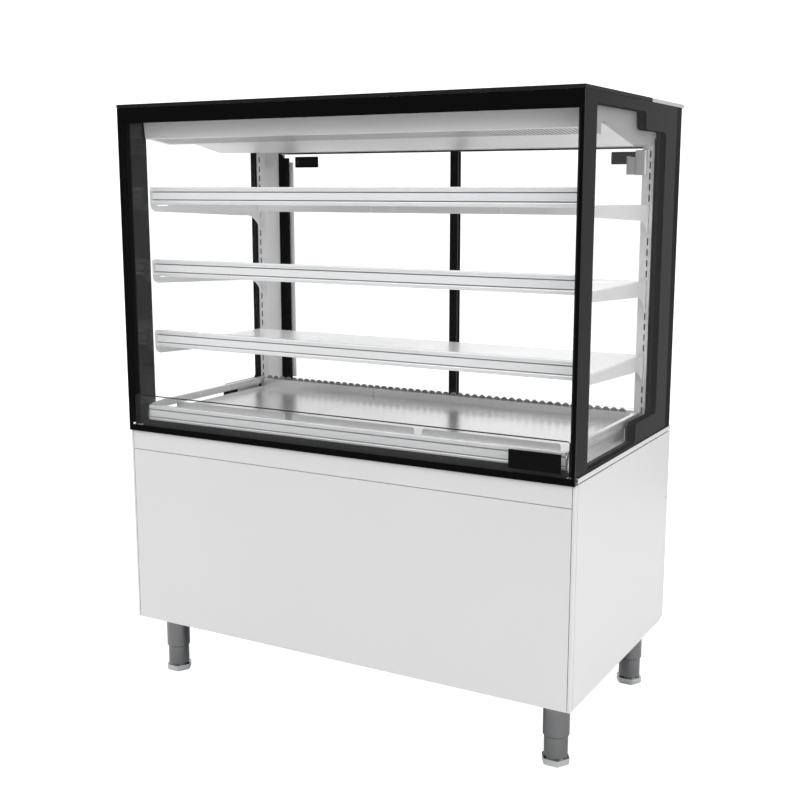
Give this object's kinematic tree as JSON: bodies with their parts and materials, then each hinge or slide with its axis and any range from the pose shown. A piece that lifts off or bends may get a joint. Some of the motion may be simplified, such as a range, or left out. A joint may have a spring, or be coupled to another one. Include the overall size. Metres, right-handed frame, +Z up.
{
  "type": "hot food display case",
  "caption": "Free-standing heated food display case: glazed upper chamber with tiered shelves and a tray deck over a closed metal base on levelling feet, with sliding rear doors.",
  "frame": {"origin": "on the floor, under the middle of the case's width and depth", "axes": "+Z up, +X to the customer's right, -Y towards the customer (front glass), +Y towards the operator"},
  "size_m": [1.2, 0.6685, 1.46],
  "materials": {
    "cabinet_paint": "satin powder coat, light grey-white",
    "structure_steel": "plain galvanised",
    "polished_steel": "polished stainless steel",
    "brushed_stainless": "fine brushed stainless steel",
    "bracket_steel": "satin stainless steel",
    "rail_aluminium": "satin anodised",
    "insert_white": "satin light grey strip",
    "edge_glass": "clear toughened glass with a black enamel border",
    "door_glass": "clear toughened glass",
    "guard_clear": "clear acrylic",
    "black_trim": "satin black",
    "roof_black": "satin black coat",
    "cap_aluminium": "satin grey coat",
    "lamp_cover": "frosted light cover",
    "motor_dark": "dark grey coat",
    "element_sheath": "heat-tinted sheath",
    "badge_black": "gloss black, blank",
    "cord_black": "matt black",
    "screw_steel": "zinc plated",
    "dark_panel": "dark grey coat"
  },
  "bodies": {
    "root": {"leg_tubes": "polished_steel", "base_frame": "structure_steel", "cabinet_floor": "structure_steel", "front_panel": "cabinet_paint", "front_fascia": "cabinet_paint", "side_panel_left": "cabinet_paint", "side_panel_right": "cabinet_paint", "corner_trims": "cabinet_paint", "rear_control_fascia": "cabinet_paint", "rear_service_panel": "cabinet_paint", "cover_screws": "screw_steel", "controller_body": "black_trim", "power_cord": "cord_black", "deck_rails": "cabinet_paint", "front_inner_panel": "dark_panel", "deck_plate": "brushed_stainless", "air_ledge": "brushed_stainless", "front_guard": "guard_clear", "base_side_rails": "bracket_steel", "heat_well": "structure_steel", "fan_motor": "motor_dark", "heating_element": "element_sheath", "front_glass": "edge_glass", "side_glass_outer": "edge_glass", "side_glass_inner": "edge_glass", "glazing_spacers": "black_trim", "roof_plate": "roof_black", "roof_rear_cap": "cap_aluminium", "canopy_housing": "rail_aluminium", "air_slot_strip": "rail_aluminium", "canopy_ceiling": "brushed_stainless", "canopy_ends": "brushed_stainless", "led_lamp": "lamp_cover", "slotted_posts": "bracket_steel", "pillar_covers": "bracket_steel", "rear_jambs": "black_trim", "rear_header": "brushed_stainless", "door_tracks": "black_trim", "shelf_brackets": "bracket_steel", "shelf_plates": "brushed_stainless", "ticket_rails": "rail_aluminium", "ticket_inserts": "insert_white", "sensor_cover": "brushed_stainless", "badge_plate": "badge_black"},
    "door_left": {"door_left_glass": "door_glass", "door_left_stiles": "black_trim", "door_left_pull": "rail_aluminium"},
    "door_right": {"door_right_glass": "door_glass", "door_right_stiles": "black_trim", "door_right_pull": "rail_aluminium"},
    "foot_front_left": {"foot_front_left": "polished_steel"},
    "foot_front_right": {"foot_front_right": "polished_steel"},
    "foot_rear_left": {"foot_rear_left": "polished_steel"},
    "foot_rear_right": {"foot_rear_right": "polished_steel"},
    "tray_left": {"tray_left": "brushed_stainless"},
    "tray_centre": {"tray_centre": "brushed_stainless"},
    "tray_right": {"tray_right": "brushed_stainless"},
    "fan": {"fan_rotor": "structure_steel"},
    "power_switch": {"power_rocker": "black_trim"},
    "light_switch": {"light_rocker": "black_trim"}
  },
  "joints": [
    {"name": "door_left_slide", "type": "slide", "parent": "root", "child": "door_left", "axis": [1, 0, 0], "range_m": [0, 0.535]},
    {"name": "door_right_slide", "type": "slide", "parent": "root", "child": "door_right", "axis": [-1, 0, 0], "range_m": [0, 0.535]},
    {"name": "foot_front_left_level", "type": "slide", "parent": "root", "child": "foot_front_left", "axis": [0, 0, -1], "range_m": [0, 0.03]},
    {"name": "foot_front_right_level", "type": "slide", "parent": "root", "child": "foot_front_right", "axis": [0, 0, -1], "range_m": [0, 0.03]},
    {"name": "foot_rear_left_level", "type": "slide", "parent": "root", "child": "foot_rear_left", "axis": [0, 0, -1], "range_m": [0, 0.03]},
    {"name": "foot_rear_right_level", "type": "slide", "parent": "root", "child": "foot_rear_right", "axis": [0, 0, -1], "range_m": [0, 0.03]},
    {"name": "tray_left_lift", "type": "slide", "parent": "root", "child": "tray_left", "axis": [0, 0, 1], "range_m": [0, 0.08]},
    {"name": "tray_centre_lift", "type": "slide", "parent": "root", "child": "tray_centre", "axis": [0, 0, 1], "range_m": [0, 0.08]},
    {"name": "tray_right_lift", "type": "slide", "parent": "root", "child": "tray_right", "axis": [0, 0, 1], "range_m": [0, 0.08]},
    {"name": "fan_spin", "type": "hinge", "parent": "root", "child": "fan", "pos_m": [0, 0, 0.56], "axis": [0, 0, 1], "continuous": true},
    {"name": "power_switch_rock", "type": "hinge", "parent": "root", "child": "power_switch", "pos_m": [-0.355, 0.328, 0.575], "axis": [1, 0, 0], "range_deg": [-9, 9]},
    {"name": "light_switch_rock", "type": "hinge", "parent": "root", "child": "light_switch", "pos_m": [-0.31, 0.328, 0.575], "axis": [1, 0, 0], "range_deg": [-9, 9]}
  ]
}
